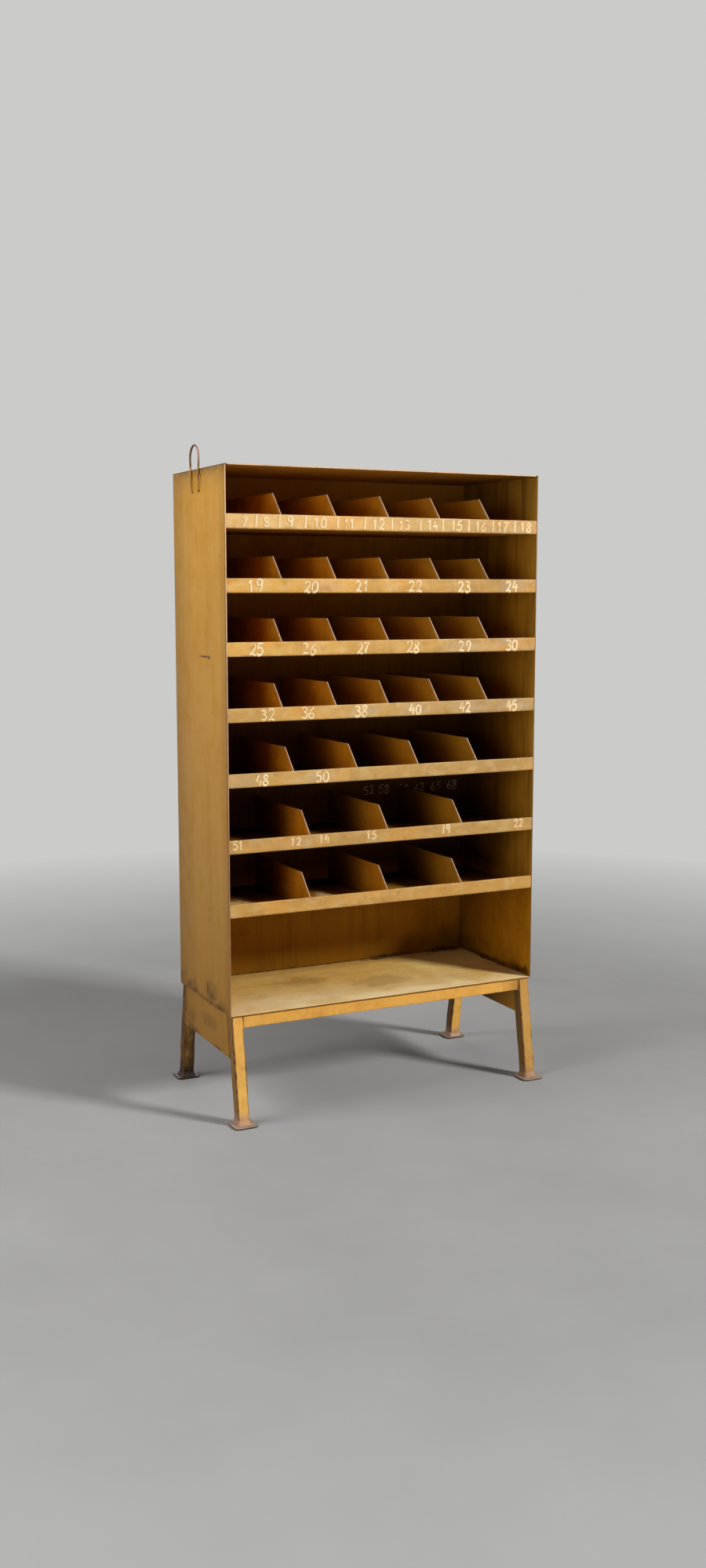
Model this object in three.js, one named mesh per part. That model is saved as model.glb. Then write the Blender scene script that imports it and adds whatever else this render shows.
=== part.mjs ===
import * as THREE from 'three';

// A rack of pigeonholes in welded sheet steel, on a low stand with splayed legs.
// Millimetres, Z up, the open front towards -Y, the origin on the ground midway between the feet.

// Carcass
const WIDTH = 1000; // over the outer faces of the two sides
const DEPTH = 420; // front edge to rear edge of the sides
const SIDE_HEIGHT = 1531; // the sides stand on the floor panel and carry the top panel
const SIDE_SHEET = 3;
const TOP_SHEET = 3;
const FLOOR_SHEET = 3;
const BACK_SHEET = 2;
const BACK_INSET = 3; // rear edge of the sides to the rear face of the back panel
const SEAM = 0.3; // gap between neighbouring pieces, where the weld runs

// Shelves, counted from the top
const TOP_OPENING = 130; // first lip to the underside of the top panel
const ROW_PITCHES = [174, 174, 182, 182, 186, 182]; // each lip to the next one below
const BAY_COUNTS = [6, 6, 6, 6, 5, 4, 4]; // pigeonholes in each row
const SHELF_SHEET = 2;
const LIP_HEIGHT = 40; // underside of the shelf plate to the top of its lip
const BEND_RADIUS = 2; // inside of the fold between plate and lip

// Dividers
const DIVIDER_SHEET = 2;
const DIVIDER_HEIGHT = 100; // above the shelf plate
const KNEE_SETBACK = 63; // front of the carcass to the upper end of the slanting front edge

// Stand
const STAND_HEIGHT = 309; // ground to the tops of legs, rails and aprons
const STAND_INSET = 5; // legs, rails and aprons, in from the edges of the floor panel
const LEG_SIZE = 35; // square tube, measured on a level cut
const LEG_WALL = 2.5;
const LEG_CORNER = 4; // outer corner radius of the tube
const LEG_SPLAY = 48; // how far a leg runs out to front or rear, from top to foot
const FOOT_SIZE = 70;
const FOOT_THICKNESS = 6;
const FOOT_CORNER = 14;
const FOOT_SET_OUT = 5; // centre of the foot plate beyond the centre of the leg above it
const RAIL_HEIGHT = 35;
const RAIL_FLANGE = 35; // flange that lies under the floor panel
const RAIL_SHEET = 3;
const APRON_HEIGHT = 125;
const APRON_SHEET = 3;

// Lifting loop, on the outside of the left panel
const LOOP_BAR = 6;
const LOOP_RADIUS = 35; // round top of the loop, to the middle of the bar
const LOOP_RISE = 69; // top of the bar above the top panel
const LOOP_DROP = 65; // ends of the bar below the top panel
const LOOP_FOOTING = 52; // between the two ends, middle to middle
const LOOP_SETBACK = 15; // middle of the loop behind the middle of the side

// Steps of the round stretches
const CORNER_STEPS = 2; // half the chords of a quarter circle
const LOOP_STEPS = 44;
const LOOP_SIDES = 5; // half the sides of the round bar

// Levels and faces that the pieces share
const FLOOR_Z = STAND_HEIGHT + SEAM;
const SIDE_Z = FLOOR_Z + FLOOR_SHEET + SEAM;
const CEILING_Z = SIDE_Z + SIDE_HEIGHT + SEAM;
const TOP_Z = CEILING_Z + TOP_SHEET;
const FRONT_Y = -DEPTH / 2;
const BACK_REAR_Y = DEPTH / 2 - BACK_INSET;
const BACK_FRONT_Y = BACK_REAR_Y - BACK_SHEET;
const INNER_WIDTH = WIDTH - 2 * (SIDE_SHEET + SEAM);
const SHELF_DEPTH = BACK_FRONT_Y - SEAM - FRONT_Y;
const LEG_X = WIDTH / 2 - STAND_INSET - LEG_SIZE / 2;
const LEG_TOP_Y = DEPTH / 2 - STAND_INSET - LEG_SIZE / 2;
const LEG_BASE_Z = FOOT_THICKNESS + SEAM;
const LEG_LENGTH = STAND_HEIGHT - LEG_BASE_Z;
const LEG_SLOPE = LEG_SPLAY / LEG_LENGTH;

// Finishes: worn ochre paint, the bare trodden floor panel, and rusty bare steel
const PAINT = { color: 0xc4933f, roughness: 0.55, metalness: 0 };
const WORN_PAINT = { color: 0xcbab6c, roughness: 0.65, metalness: 0 };
const BARE_STEEL = { color: 0x6f6152, roughness: 0.7, metalness: 0.3 };

const X = new THREE.Vector3(1, 0, 0);
const Y = new THREE.Vector3(0, 1, 0);
const Z = new THREE.Vector3(0, 0, 1);

function piece(name, geometry, finish, x, y, z) {
  const mesh = new THREE.Mesh(geometry, new THREE.MeshStandardMaterial(finish));
  mesh.name = name;
  mesh.position.set(x, y, z);
  return mesh;
}

function flatSheet(sizeX, sizeY, sizeZ) {
  return new THREE.BoxGeometry(sizeX, sizeY, sizeZ);
}

// Takes an outline drawn with Y to the right and Z up, and gives it a width along X, centred.
function acrossWidth(outline, width) {
  const geometry = new THREE.ExtrudeGeometry(outline, {
    depth: width,
    bevelEnabled: false,
    curveSegments: CORNER_STEPS,
  });
  geometry.translate(0, 0, -width / 2);
  return geometry.applyMatrix4(new THREE.Matrix4().makeBasis(Y, Z, X));
}

function outlineOf(points) {
  return new THREE.Shape(points.map(([y, z]) => new THREE.Vector2(y, z)));
}

function roundedSquare(size, radius) {
  const side = size / 2;
  const arm = side - radius;
  const outline = new THREE.Shape();
  outline.moveTo(side, -arm);
  outline.lineTo(side, arm);
  outline.absarc(arm, arm, radius, 0, Math.PI / 2);
  outline.lineTo(-arm, side);
  outline.absarc(-arm, arm, radius, Math.PI / 2, Math.PI);
  outline.lineTo(-side, -arm);
  outline.absarc(-arm, -arm, radius, Math.PI, Math.PI * 1.5);
  outline.lineTo(arm, -side);
  outline.absarc(arm, -arm, radius, Math.PI * 1.5, Math.PI * 2);
  return outline;
}

// Carcass panels
function carcass() {
  const group = new THREE.Group();
  const sideX = (WIDTH - SIDE_SHEET) / 2;
  const sideMiddle = SIDE_Z + SIDE_HEIGHT / 2;
  for (const [hand, x] of [['left', -sideX], ['right', sideX]]) {
    const side = flatSheet(SIDE_SHEET, DEPTH, SIDE_HEIGHT);
    group.add(piece(`${hand}_side_panel`, side, PAINT, x, 0, sideMiddle));
  }
  const back = flatSheet(INNER_WIDTH, BACK_SHEET, SIDE_HEIGHT);
  group.add(piece('back_panel', back, PAINT, 0, BACK_REAR_Y - BACK_SHEET / 2, sideMiddle));
  const floor = flatSheet(WIDTH, DEPTH, FLOOR_SHEET);
  group.add(piece('floor_panel', floor, WORN_PAINT, 0, 0, FLOOR_Z + FLOOR_SHEET / 2));
  const top = flatSheet(WIDTH, DEPTH, TOP_SHEET);
  group.add(piece('top_panel', top, PAINT, 0, 0, CEILING_Z + TOP_SHEET / 2));
  return group;
}

// Folded section of a shelf: from the rear edge along the underside, round the fold, up the lip
// and back along the upper side.
function shelfOutline() {
  const outer = BEND_RADIUS + SHELF_SHEET;
  const outline = new THREE.Shape();
  outline.moveTo(SHELF_DEPTH, SHELF_SHEET);
  outline.lineTo(outer, SHELF_SHEET);
  outline.absarc(outer, outer, BEND_RADIUS, Math.PI * 1.5, Math.PI, true);
  outline.lineTo(SHELF_SHEET, LIP_HEIGHT);
  outline.lineTo(0, LIP_HEIGHT);
  outline.lineTo(0, outer);
  outline.absarc(outer, outer, outer, Math.PI, Math.PI * 1.5);
  outline.lineTo(SHELF_DEPTH, 0);
  return outline;
}

// A divider stands behind the lip and clears the fold with its cut-off lower front corner. Its
// front edge rises to the top of the lip and slants back from there to the knee.
function dividerOutline() {
  const front = SHELF_SHEET + SEAM;
  const lipTop = LIP_HEIGHT - SHELF_SHEET - SEAM;
  return outlineOf([
    [front + BEND_RADIUS, 0],
    [SHELF_DEPTH, 0],
    [SHELF_DEPTH, DIVIDER_HEIGHT],
    [KNEE_SETBACK, DIVIDER_HEIGHT],
    [front, lipTop],
    [front, BEND_RADIUS],
  ]);
}

function row(number, shelfZ) {
  const group = new THREE.Group();
  group.position.set(0, FRONT_Y, shelfZ);
  group.add(piece(`shelf_${number}`, acrossWidth(shelfOutline(), INNER_WIDTH), PAINT, 0, 0, 0));
  const bays = BAY_COUNTS[number - 1];
  for (let place = 1; place < bays; place += 1) {
    const x = WIDTH * (place / bays - 1 / 2);
    const sheet = acrossWidth(dividerOutline(), DIVIDER_SHEET);
    group.add(piece(`divider_${number}_${place}`, sheet, PAINT, x, 0, SHELF_SHEET + SEAM));
  }
  return group;
}

function rows() {
  const group = new THREE.Group();
  let lipTop = CEILING_Z - TOP_OPENING;
  group.add(row(1, lipTop - LIP_HEIGHT));
  ROW_PITCHES.forEach((pitch, index) => {
    lipTop -= pitch;
    group.add(row(index + 2, lipTop - LIP_HEIGHT));
  });
  return group;
}

// A leg is cut level at both ends, so its tube leans without turning: the section slides towards
// the carcass as it rises. Its origin is the middle of its lower end.
function leg(towardsCarcass) {
  const section = roundedSquare(LEG_SIZE, LEG_CORNER);
  const bore = LEG_SIZE - 2 * LEG_WALL;
  section.holes.push(roundedSquare(bore, Math.max(LEG_CORNER - LEG_WALL, LEG_WALL / 4)));
  const geometry = new THREE.ExtrudeGeometry(section, {
    depth: LEG_LENGTH,
    bevelEnabled: false,
    curveSegments: CORNER_STEPS,
  });
  const lean = new THREE.Matrix4().makeShear(0, 0, 0, 0, 0, towardsCarcass * LEG_SLOPE);
  return geometry.applyMatrix4(lean);
}

function foot() {
  return new THREE.ExtrudeGeometry(roundedSquare(FOOT_SIZE, FOOT_CORNER), {
    depth: FOOT_THICKNESS,
    bevelEnabled: false,
    curveSegments: CORNER_STEPS,
  });
}

// Angle bar, drawn as the front one: face to the front, flange to the rear under the floor panel.
function railOutline() {
  return outlineOf([
    [0, -RAIL_HEIGHT],
    [RAIL_SHEET, -RAIL_HEIGHT],
    [RAIL_SHEET, -RAIL_SHEET],
    [RAIL_FLANGE, -RAIL_SHEET],
    [RAIL_FLANGE, 0],
    [0, 0],
  ]);
}

// Plate between the legs of one end, with both ends cut to the lean of the legs.
function apronOutline() {
  const top = LEG_TOP_Y - LEG_SIZE / 2 - SEAM;
  const bottom = top + LEG_SLOPE * APRON_HEIGHT;
  return outlineOf([
    [-bottom, -APRON_HEIGHT],
    [bottom, -APRON_HEIGHT],
    [top, 0],
    [-top, 0],
  ]);
}

function stand() {
  const group = new THREE.Group();
  const baseY = LEG_TOP_Y + LEG_SPLAY;
  const footY = baseY + FOOT_SET_OUT;
  for (const [end, out] of [['front', -1], ['rear', 1]]) {
    for (const [hand, side] of [['left', -1], ['right', 1]]) {
      const x = side * LEG_X;
      group.add(piece(`leg_${end}_${hand}`, leg(-out), PAINT, x, out * baseY, LEG_BASE_Z));
      group.add(piece(`foot_${end}_${hand}`, foot(), BARE_STEEL, x, out * footY, 0));
    }
    const railLength = WIDTH - 2 * (STAND_INSET + LEG_SIZE + SEAM);
    const rail = acrossWidth(railOutline(), railLength);
    const railY = out * (DEPTH / 2 - STAND_INSET);
    const bar = piece(`${end}_rail`, rail, PAINT, 0, railY, STAND_HEIGHT);
    bar.rotation.z = end === 'rear' ? Math.PI : 0;
    group.add(bar);
  }
  const apronX = WIDTH / 2 - STAND_INSET - APRON_SHEET / 2;
  for (const [hand, x] of [['left', -apronX], ['right', apronX]]) {
    const plate = acrossWidth(apronOutline(), APRON_SHEET);
    group.add(piece(`${hand}_apron`, plate, PAINT, x, 0, STAND_HEIGHT));
  }
  return group;
}

// Middle line of the loop in the Y-Z plane, measured from the middle of its round top: straight up
// from one end, round the top, straight down to the other end, both straights touching the round.
class LoopLine extends THREE.Curve {
  constructor(endY, endZ, radius) {
    super();
    const reach = Math.hypot(endY, endZ);
    this.end = new THREE.Vector3(0, endY, endZ);
    this.radius = radius;
    this.touch = Math.atan2(endZ, endY) + Math.acos(radius / reach);
    this.straight = Math.sqrt(reach * reach - radius * radius);
    this.round = radius * (Math.PI - 2 * this.touch);
  }

  getPoint(t, target = new THREE.Vector3()) {
    const run = Math.abs(t - 0.5) * (2 * this.straight + this.round);
    const angle = Math.max(Math.PI / 2 - run / this.radius, this.touch);
    target.set(0, this.radius * Math.cos(angle), this.radius * Math.sin(angle));
    const past = Math.max(run - this.round / 2, 0) / this.straight;
    target.lerp(this.end, past);
    target.y *= t < 0.5 ? 1 : -1;
    return target;
  }
}

function liftingLoop() {
  const middleZ = TOP_Z + LOOP_RISE - LOOP_BAR / 2 - LOOP_RADIUS;
  const line = new LoopLine(LOOP_FOOTING / 2, TOP_Z - LOOP_DROP - middleZ, LOOP_RADIUS);
  const bar = new THREE.Shape();
  bar.absarc(0, 0, LOOP_BAR / 2, 0, Math.PI * 2);
  const geometry = new THREE.ExtrudeGeometry(bar, {
    steps: LOOP_STEPS,
    curveSegments: LOOP_SIDES,
    extrudePath: line,
  });
  const x = -WIDTH / 2 - SEAM - LOOP_BAR / 2;
  return piece('lifting_loop', geometry, BARE_STEEL, x, LOOP_SETBACK, middleZ);
}

const rack = new THREE.Group();
rack.add(carcass(), rows(), stand(), liftingLoop());

export default rack;
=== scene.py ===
# The looks of a welded pigeonhole rack in old brushed ochre enamel. Metres, Z up, open front to -Y.
import math
import random

import bmesh
import bpy
from mathutils import Matrix, Vector, noise


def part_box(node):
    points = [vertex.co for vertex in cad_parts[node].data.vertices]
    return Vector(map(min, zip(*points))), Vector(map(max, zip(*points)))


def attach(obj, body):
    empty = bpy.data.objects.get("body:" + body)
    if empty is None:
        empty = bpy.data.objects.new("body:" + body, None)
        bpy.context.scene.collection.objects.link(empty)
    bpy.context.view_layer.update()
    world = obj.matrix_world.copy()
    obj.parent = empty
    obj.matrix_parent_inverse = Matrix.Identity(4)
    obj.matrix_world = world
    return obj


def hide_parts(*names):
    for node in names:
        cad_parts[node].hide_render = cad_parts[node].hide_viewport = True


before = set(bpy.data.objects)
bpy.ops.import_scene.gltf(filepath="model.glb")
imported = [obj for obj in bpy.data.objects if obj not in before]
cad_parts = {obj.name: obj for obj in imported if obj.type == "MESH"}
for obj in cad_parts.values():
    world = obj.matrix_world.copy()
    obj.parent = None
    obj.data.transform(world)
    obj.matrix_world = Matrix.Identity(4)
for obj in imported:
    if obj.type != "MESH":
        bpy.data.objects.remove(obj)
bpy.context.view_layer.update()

MM = 0.001
AXES = {"x": Vector((1, 0, 0)), "y": Vector((0, 1, 0)), "z": Vector((0, 0, 1))}
HANDS = {"left": -1, "right": 1}
ENDS = {"front": -1, "rear": 1}
ROWS = range(1, 8)
dice = random.Random(11)

# Camera, worked out from the photograph's own perspective
PHOTO_WIDTH = 900
PHOTO_HEIGHT = 2000
FOCAL_PIXELS = 1863.8
SENSOR = 36
CAMERA_PLACE = (-1.944, -3.9634, 1.5047)
CAMERA_YAW = 25.977
CAMERA_PITCH = 7.512

# Each lamp's place, the point that it faces, its width and its watts
LAMPS = {
    "key": (Vector((4.85, -6.1, 4.5)), Vector((0, 0, 0.95)), 1.4, 820),
    "fill": (Vector((-4.0, 0.1, 3.4)), Vector((-0.5, 0, 1.3)), 2.2, 125),
    "front": (Vector((-4.3, -2.5, 1.6)), Vector((0, -0.2, 1.0)), 2.0, 55),
    "rear": (Vector((0.8, 4.8, 2.6)), Vector((0, 0.2, 0.9)), 2.4, 50),
}
AMBIENT = 0.08
FLOOR_RADIUS = 9
FLOOR_SIDES = 96
FLOOR_GREY_TO = 1.6
FLOOR_PALE_FROM = 4.2
FLOOR_GREY = "#a3a3a2"
FLOOR_CLOUD = "#8b8b8a"
BACKDROP = "#cbcbc9"

# Paint: the two colours that chips show, and how far brush marks are drawn out along x, y and z
PALE_CHIPS = ("#d0a987", "#76573c")
DARK_CHIPS = ("#74502a", "#38220e")
UPRIGHT = (1, 1, 30)
LENGTHWISE = (30, 1, 1)
CROSSWISE = (1, 30, 1)
RAGGED = (1.8, 1.8, 1.8)  # how much noise tears the outline of a stain

# Sheet-metal work
MERGE = 0.01 * MM
FLAT = math.radians(1)
SHARP = math.radians(50)
SMOOTH = math.radians(40)
EDGE_RADIUS = 0.5 * MM
EDGE_SEGMENTS = 2
FACING = 0.9  # a face counts as a sheet's outer or inner side from here on
RIM = 5 * MM  # how far wear reaches in from an edge
FRONT_RIM = 4 * MM  # the same on cut plates
DIVIDER_KNEE = 63 * MM
PANEL_STEP = 70 * MM
PANEL_WAVE = 0.9 * MM
PANEL_WAVE_LENGTH = 320 * MM
PANEL_HELD = 60 * MM  # a panel's waves die out this near its welded rims
LIP_STEP = 30 * MM
LIP_WAVE = 1.3 * MM
LIP_WAVE_LENGTH = 190 * MM
LIP_RISE_SEED = 20
LIP_HELD = 50 * MM
LIP_DEPTH = 4.2 * MM  # lip and fold, back from the front face
FOLD_RUB = 0.9

# Legs
TUBE_FACES = 8  # four outer and four inner
LEG_STEP = 18 * MM
LEG_DENT = 1.6 * MM
LEG_DENT_LENGTH = 55 * MM
LEG_SEEDS = (5, 9)
LEFT_RUB = 1.2  # the left edges of a leg are rubbed more than the others

# Foot plates
FOOT_CORNER = 14 * MM
FOOT_SEGMENTS = 8
FOOT_RIM = 1.4 * MM
FOOT_STEP = 9 * MM
FOOT_DENT = 1.1 * MM
FOOT_DENT_LENGTH = 22 * MM
FOOT_SEED = 3

# Lifting loop
LOOP_SIDES = 16
LOOP_FOOTING = 52 * MM
LOOP_TURNS = 40
LOOP_STEPS = 6
LOOP_RUB = 0.8

# Welds
WELD_RUB = 0.6
BEAD_SIDES = 7
BEAD_LEAST = 4
BEAD_TIP = 0.45  # widths of a bead, in radii
BEAD_SWELL = (0.85, 1.1)
BEAD_RIPPLE = 0.12
RIPPLES = 1.5  # steps of a bead, in radii
SEAM_BEAD = 2.4 * MM
SEAM_SWELL = (0.8, 1.2)
SEAM_RUN = (2, 4)  # in tacks, as is the gap
SEAM_GAP = (0, 0.6)
RAIL_BEAD = 2.5 * MM
TACK_BEAD = 2 * MM
TACK_LENGTH = 14 * MM
TACK_PLACES = (0.12, 0.5, 0.88)  # in shares of a divider's depth
LOOP_BEAD = 3.4 * MM
LOOP_LEAN = 9 * MM
LOOP_WELD_FOOT = 4 * MM
LOOP_WELD_TOP = 12 * MM
FLARE = ((0, 7.5), (2.5, 5.6), (5, 4), (8, 2.6), (11, 1.5), (15, 0.6))  # mm up the leg, mm past its faces
FLARE_SUNK = 2 * MM
FLARE_SIDES = 56
FLARE_POWER = 7
FLARE_WAVE = 1.4 * MM
FLARE_WAVE_LENGTH = 9 * MM
FLARE_SEED = 6
PLUGS = 6  # welds through the back along each shelf
PLUG_WIDTH = 13 * MM
PLUG_SWELL = (0.8, 1.15)
PLUG_RISE = 1.5 * MM
PLUG_SUNK = 1 * MM
PLUG_SIDES = 14
PLUG_ASIDE = 6  # mm out of line, sideways and up
PLUG_UP = 1
PLUG_STEPS = ((1.3, 1), (0.5, 0.72), (-0.3, 0.5))  # mm out, then the width against the ring before

# Strokes of the brush and the chalk
STROKE_STEPS = 5
STROKE_ROUND = 2
STROKE_PRESS = (0.7, 1.2)
STROKE = 2.3 * MM  # half the width of a brush stroke
STROKE_FLATTENED = 0.14
OLDER_WIDTH = 1.5  # of the strokes below, against the numbers painted over them
OLDER_SHIFT = Vector((-1.8, 0, -0.8)) * MM
OLDER_FLATTENED = STROKE_FLATTENED / 2
CHALK_STROKE = 1.5 * MM
CHALK_FLATTENED = 0.2
DIGIT_PITCH = 0.7
DIGIT_LEAN = (-4, 8)  # degrees
DIGIT_GROW = (0.9, 1.05)
DIGIT_UP = 1  # mm off the line
# Each digit as brush strokes, in shares of its height: across, then up
DIGITS = {
    "0": [[(0.3, 1), (0.05, 0.6), (0.12, 0.1), (0.36, 0.02), (0.55, 0.42), (0.48, 0.86), (0.26, 0.97)]],
    "1": [[(0.08, 0.74), (0.3, 1)], [(0.3, 1), (0.27, 0.5), (0.26, 0)]],
    "2": [[(0.06, 0.8), (0.26, 1), (0.5, 0.84), (0.38, 0.42), (0.05, 0.03)],
          [(0.05, 0.03), (0.3, 0.1), (0.6, 0)]],
    "3": [[(0.05, 0.9), (0.3, 1), (0.5, 0.8), (0.24, 0.56)],
          [(0.24, 0.56), (0.54, 0.36), (0.36, 0.02), (0.02, 0.1)]],
    "4": [[(0.3, 1), (0.14, 0.66), (0.02, 0.4)], [(0.02, 0.4), (0.58, 0.42)], [(0.45, 0.7), (0.4, 0)]],
    "5": [[(0.54, 1), (0.14, 0.96)], [(0.14, 0.96), (0.08, 0.56)],
          [(0.08, 0.56), (0.4, 0.6), (0.5, 0.26), (0.26, 0), (0, 0.12)]],
    "6": [[(0.46, 1), (0.14, 0.6), (0.06, 0.2), (0.28, 0), (0.5, 0.2), (0.36, 0.46), (0.1, 0.3)]],
    "7": [[(0, 0.92), (0.3, 0.98), (0.52, 1)], [(0.52, 1), (0.26, 0.46), (0.16, 0)]],
    "8": [[(0.48, 0.84), (0.26, 1), (0.08, 0.78), (0.3, 0.52), (0.52, 0.22), (0.26, 0),
           (0.03, 0.22), (0.26, 0.5), (0.48, 0.84)]],
    "9": [[(0.48, 0.82), (0.26, 1), (0.04, 0.74), (0.24, 0.5), (0.48, 0.74)],
          [(0.5, 0.92), (0.44, 0.4), (0.32, 0)]],
}
# Each lip's numbers: their height, their lift, then each number with the middle of its place, in millimetres
NUMBERS = {
    1: (27, 0, {7: -440, 8: -375, 9: -305, 10: -215, 11: -125, 12: -35,
                13: 50, 14: 143, 15: 222, 16: 305, 17: 380, 18: 460}),
    2: (33, 0, {19: -410, 20: -244, 21: -83, 22: 87, 23: 251, 24: 414}),
    3: (32, 0, {25: -411, 26: -250, 27: -80, 28: 80, 29: 254, 30: 417}),
    4: (30, 0, {32: -378, 36: -255, 38: -88, 40: 89, 42: 256, 45: 420}),
    5: (30, 0, {48: -396, 50: -210}),
    6: (24, 5, {51: -470, 12: -294, 14: -205, 15: -54, 19: 195, 22: 449}),
}
# Ticks between the numbers of the first lip, in millimetres
TICK_PLACES = (-410, -340, -262, -162, -78, 9, 101, 176, 262, 345, 420)
TICK_FOOT = 5 * MM
TICK_LEAN = (-1, 2)
CHALKED = {52: 146, 58: 200, 60: 268, 62: 330, 65: 392, 68: 452}
CHALK_HEIGHT = 28 * MM
CHALK_LEVEL = 856 * MM


# Materials, with all their lengths in millimetres
def linear(code):
    """An sRGB hex colour as linear red, green, blue and alpha."""
    channels = [int(code[start:start + 2], 16) / 255 for start in (1, 3, 5)]
    bent = [c / 12.92 if c <= 0.04045 else ((c + 0.055) / 1.055) ** 2.4 for c in channels]
    return (*bent, 1)


def add(tree, kind, inputs=None, output=0, **settings):
    """Adds a shader node, sets it, feeds its inputs with values or sockets, and gives one output."""
    node = tree.nodes.new("ShaderNode" + kind)
    for name, value in settings.items():
        setattr(node, name, value)
    for socket, value in (inputs or {}).items():
        if isinstance(value, bpy.types.NodeSocket):
            tree.links.new(value, node.inputs[socket])
        else:
            node.inputs[socket].default_value = value
    return node.outputs[output] if node.outputs else None


def new_material(name):
    """An empty material with its node tree and the part's own coordinates."""
    material = bpy.data.materials.new(name)
    material.use_nodes = True
    tree = material.node_tree
    tree.nodes.clear()
    place = add(tree, "TexCoord", output=3)
    return material, tree, place


def patches(place, size, low, high, detail=4, stretch=(1, 1, 1)):
    """A mask of cloudy patches of about one size: 0 where the noise is low, 1 where it is high."""
    tree = place.id_data
    shrunk = [1 / length for length in stretch]
    spread = add(tree, "Mapping", {"Vector": place, "Scale": shrunk})
    pattern = {"Vector": spread, "Scale": 1 / (size * MM), "Detail": detail, "Roughness": 0.6}
    cloud = add(tree, "TexNoise", pattern)
    return add(tree, "MapRange", {"Value": cloud, "From Min": low, "From Max": high})


def band(place, axis, start, full):
    """A mask that goes from 0 to 1 between two places along x, y or z, or along "side", x either way."""
    tree = place.id_data
    along = add(tree, "SeparateXYZ", {"Vector": place}, output=0 if axis == "side" else "xyz".index(axis))
    if axis == "side":
        along = add(tree, "Math", {0: along}, operation="ABSOLUTE")
    return add(tree, "MapRange", {"Value": along, "From Min": start * MM, "From Max": full * MM})


def stains(place, grit, *spots):
    """A ragged mask round points: 1 in the middle of each, 0 past its reach in x, y and z."""
    tree = place.id_data
    cloud = add(tree, "TexNoise", {"Vector": place, "Scale": 1 / (grit * MM), "Detail": 5}, output=1)
    shaken = add(tree, "VectorMath", {0: cloud, 1: (0.5, 0.5, 0.5)}, operation="SUBTRACT")
    whole = 0
    for centre, reach in spots:
        offset = add(tree, "VectorMath", {0: place, 1: Vector(centre) * MM}, operation="SUBTRACT")
        shares = add(tree, "VectorMath", {0: offset, 1: Vector(reach) * MM}, operation="DIVIDE")
        moved = add(tree, "VectorMath", {0: shaken, 1: RAGGED, 2: shares}, operation="MULTIPLY_ADD")
        distance = add(tree, "VectorMath", {0: moved}, output=1, operation="LENGTH")
        spot = add(tree, "MapRange", {"Value": distance, "From Min": 1, "From Max": 0.4})
        whole = add(tree, "Math", {0: whole, 1: spot}, operation="MAXIMUM")
    return whole


def coat(below, share, colour, *masks):
    """Lays a hex colour or a socket's colour over another, by a share, where all the masks are high."""
    tree = masks[0].id_data
    factor = share
    for mask in masks:
        factor = add(tree, "Math", {0: mask, 1: factor}, operation="MULTIPLY")
    inputs = {0: factor, 6: below, 7: linear(colour) if isinstance(colour, str) else colour}
    return add(tree, "Mix", inputs, output=2, data_type="RGBA")


def aged_enamel(name, base, faded, soiled, brush, cloudy=0.5, chipped=0.5, specks=0.6, shine=0.3,
                below=PALE_CHIPS, dusty=0, dirt_and_light_layers=None):
    """Oil enamel brushed on sheet steel and worn for decades: cloudy fading, brush marks that run one
    way, handling dirt, rust specks, and chipped edges where pale primer and brown steel show. Its
    colour is built up in layers, each with its share, its colour and its masks; the layers that a
    material is given hold dirt and wear, and some also hold painted light and shade."""
    material, tree, place = new_material(name)
    # Brush marks, pits and grain are finer on the real paint, and are drawn as coarse as they need to show
    dirt = patches(place, 85, 0.47, 0.78, detail=7)
    marks = patches(place, 7, 0.25, 0.75, detail=3, stretch=brush)
    rub = add(tree, "Attribute", output=2, attribute_name="rub")
    nibbles = add(tree, "TexNoise", {"Vector": place, "Scale": 1 / (24 * MM), "Detail": 6, "Roughness": 0.7})
    bitten = add(tree, "Math", {0: nibbles, 1: rub}, operation="MULTIPLY")
    start = 0.72 - chipped / 4
    chips = add(tree, "MapRange", {"Value": bitten, "From Min": start, "From Max": start + 0.05})
    ring = add(tree, "MapRange", {"Value": bitten, "From Min": start - 0.22, "From Max": start})
    under = coat(linear(below[0]), 0.9, below[1], patches(place, 18, 0.45, 0.6))
    layers = [
        (0.6, faded, patches(place, 240, 0.36, 0.66)),
        (cloudy, soiled, dirt),
        (0.16, soiled, marks),
        (0.32, soiled, patches(place, 26, 0.5, 0.72, detail=5, stretch=brush)),
        (cloudy * 0.7, faded, patches(place, 16, 0.52, 0.74, detail=6)),
        *(dirt_and_light_layers(place) if dirt_and_light_layers else ()),
        (specks, "#4a2a12", patches(place, 7, 0.66, 0.72, detail=3), patches(place, 130, 0.46, 0.62)),
        (specks * 0.8, "#54310f", patches(place, 3.5, 0.62, 0.68, detail=2), patches(place, 60, 0.44, 0.62)),
        (0.35, "#6b4216", ring),
        (0.9, under, chips),
    ]
    colour = linear(base)
    for layer in layers:
        colour = coat(colour, *layer)
    grain = add(tree, "TexNoise", {"Vector": place, "Scale": 1 / (2.5 * MM), "Detail": 2})
    relief = add(tree, "Math", {0: marks, 1: 0.6, 2: grain}, operation="MULTIPLY_ADD")
    relief = add(tree, "Math", {0: chips, 1: -0.9, 2: relief}, operation="MULTIPLY_ADD")
    bump = add(tree, "Bump", {"Height": relief, "Distance": 0.35 * MM, "Strength": 0.5})
    gloss = add(tree, "MapRange", {"Value": dirt, "To Min": 0.48 + dusty, "To Max": 0.68 + dusty})
    gloss = add(tree, "Math", {0: chips, 1: 0.2, 2: gloss}, operation="MULTIPLY_ADD")
    surface = {"Base Color": colour, "Roughness": gloss, "Normal": bump, "Specular IOR Level": shine}
    add(tree, "OutputMaterial", {"Surface": add(tree, "BsdfPrincipled", surface)})
    return material
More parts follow.
